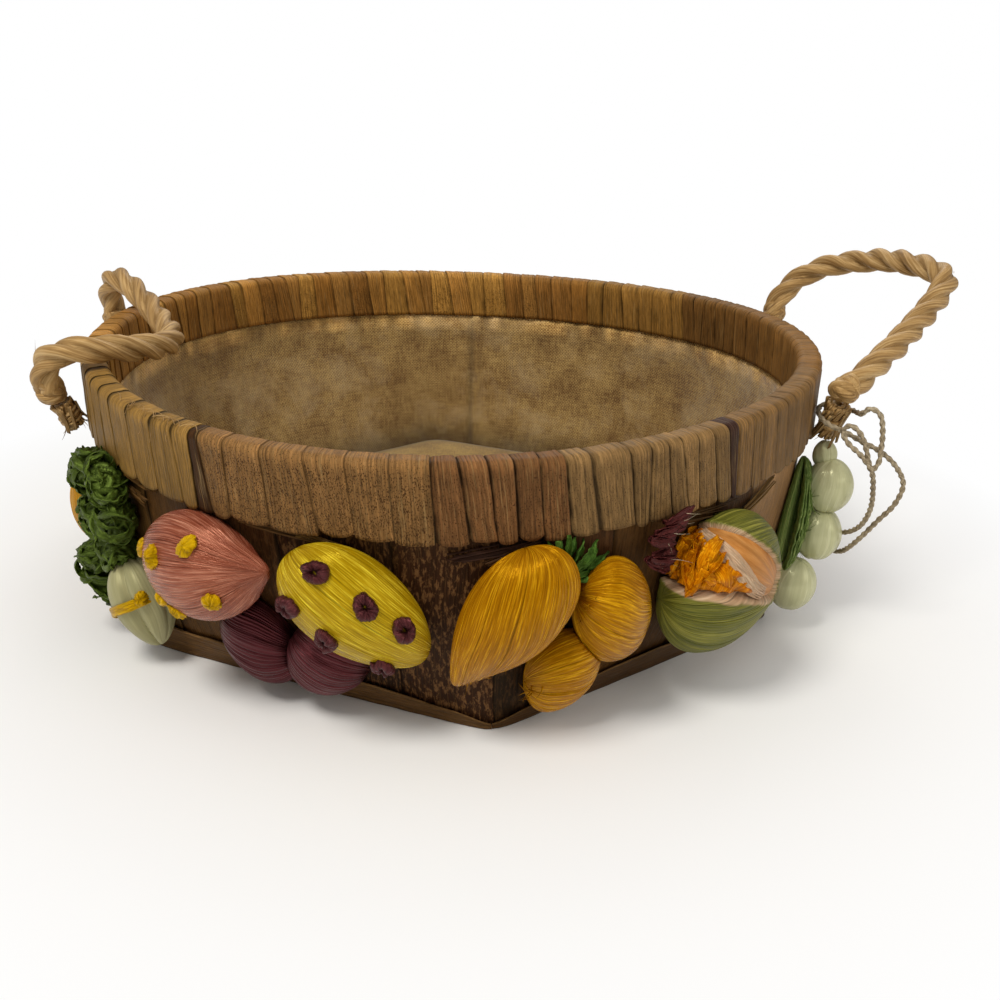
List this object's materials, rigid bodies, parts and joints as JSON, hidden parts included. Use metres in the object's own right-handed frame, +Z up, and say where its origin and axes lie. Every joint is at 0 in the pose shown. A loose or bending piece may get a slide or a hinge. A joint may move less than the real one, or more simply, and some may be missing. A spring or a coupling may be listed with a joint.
{
  "type": "raffia basket",
  "caption": "Round plaited leaf basket with a leaf-wrapped rim, cloth lining, twisted rope handles that swing, and padded raffia fruit sewn round the wall.",
  "frame": {"origin": "centre of the flat underside", "axes": "+Z up out of the basket, +X to the handle that stands outwards, +Y to the back of the picture"},
  "size_m": [0.2583, 0.2288, 0.0961],
  "materials": {
    "wall_leaf": "plaited dried leaf strips, mottled maroon and brown, satin",
    "fold_leaf": "dried leaf strip, tan and brown, satin",
    "rim_leaf": "wrapped dried leaf strips, pale tan with dark specks, satin",
    "cane": "split cane, bare",
    "lining_cloth": "coarse woven lining, faint sheen",
    "floor_cloth": "coarse woven cloth over a stiff disc",
    "rope_straw": "twisted straw rope, glossy strands",
    "twine": "twisted natural twine, dull",
    "orange_raffia": "wound raffia fibre, silky",
    "salmon_raffia": "wound raffia fibre, silky",
    "plum_raffia": "wound raffia fibre, silky",
    "yellow_raffia": "wound raffia fibre, silky, with purple knots",
    "pale_raffia": "wound raffia fibre, dull",
    "golden_raffia": "wound raffia fibre, silky",
    "green_raffia": "crimped dyed raffia ribbon",
    "melon_rind": "wound raffia fibre, silky",
    "melon_flesh": "ribbed dyed raffia",
    "melon_pulp": "crumpled dyed raffia",
    "petal_raffia": "crimped dyed raffia ribbon",
    "pea_satin": "satin fibre wound on a bead"
  },
  "bodies": {
    "root": {"plaited_wall": "wall_leaf", "floor_disc": "floor_cloth", "cloth_lining": "lining_cloth", "outer_hoop": "cane", "inner_hoop": "cane", "rim_wrapping": "rim_leaf", "base_fold_1": "fold_leaf", "base_fold_2": "fold_leaf", "base_fold_3": "fold_leaf", "base_fold_4": "fold_leaf", "base_fold_5": "fold_leaf", "base_fold_6": "fold_leaf", "right_handle_near_neck": "rope_straw", "right_handle_far_neck": "rope_straw", "left_handle_near_neck": "rope_straw", "left_handle_far_neck": "rope_straw", "hitched_twine": "twine", "front_dotted_fruit": "yellow_raffia", "front_salmon_fruit": "salmon_raffia", "front_golden_fruit": "golden_raffia", "front_golden_round": "golden_raffia", "front_golden_small": "golden_raffia", "front_plum_left": "plum_raffia", "front_plum_right": "plum_raffia", "front_pale_bulb": "pale_raffia", "front_melon_rind": "melon_rind", "front_melon_flesh": "melon_flesh", "front_melon_pulp": "melon_pulp", "front_curled_leaves": "green_raffia", "front_orange_fruit": "orange_raffia", "front_melon_petals": "petal_raffia", "front_golden_sprig": "green_raffia", "front_pea_1": "pea_satin", "front_pea_2": "pea_satin", "front_pea_3": "pea_satin", "front_pea_tip": "pea_satin", "front_pod_leaf": "green_raffia", "back_dotted_fruit": "yellow_raffia", "back_salmon_fruit": "salmon_raffia", "back_golden_fruit": "golden_raffia", "back_golden_round": "golden_raffia", "back_golden_small": "golden_raffia", "back_plum_left": "plum_raffia", "back_plum_right": "plum_raffia", "back_pale_bulb": "pale_raffia", "back_melon_rind": "melon_rind", "back_melon_flesh": "melon_flesh", "back_melon_pulp": "melon_pulp", "back_curled_leaves": "green_raffia", "back_orange_fruit": "orange_raffia", "back_melon_petals": "petal_raffia", "back_golden_sprig": "green_raffia", "back_pea_1": "pea_satin", "back_pea_2": "pea_satin", "back_pea_3": "pea_satin", "back_pea_tip": "pea_satin", "back_pod_leaf": "green_raffia"},
    "right_handle": {"right_handle_rope": "rope_straw"},
    "left_handle": {"left_handle_rope": "rope_straw"}
  },
  "joints": [
    {"name": "right_handle_swing", "type": "hinge", "parent": "root", "child": "right_handle", "pos_m": [0.10388, -0.04239, 0.07], "axis": [-0.0107, 0.9999, 0], "range_deg": [-40, 30]},
    {"name": "left_handle_swing", "type": "hinge", "parent": "root", "child": "left_handle", "pos_m": [-0.10381, -0.04514, 0.0665], "axis": [0.0672, -0.997, -0.0374], "range_deg": [0, 110]}
  ]
}
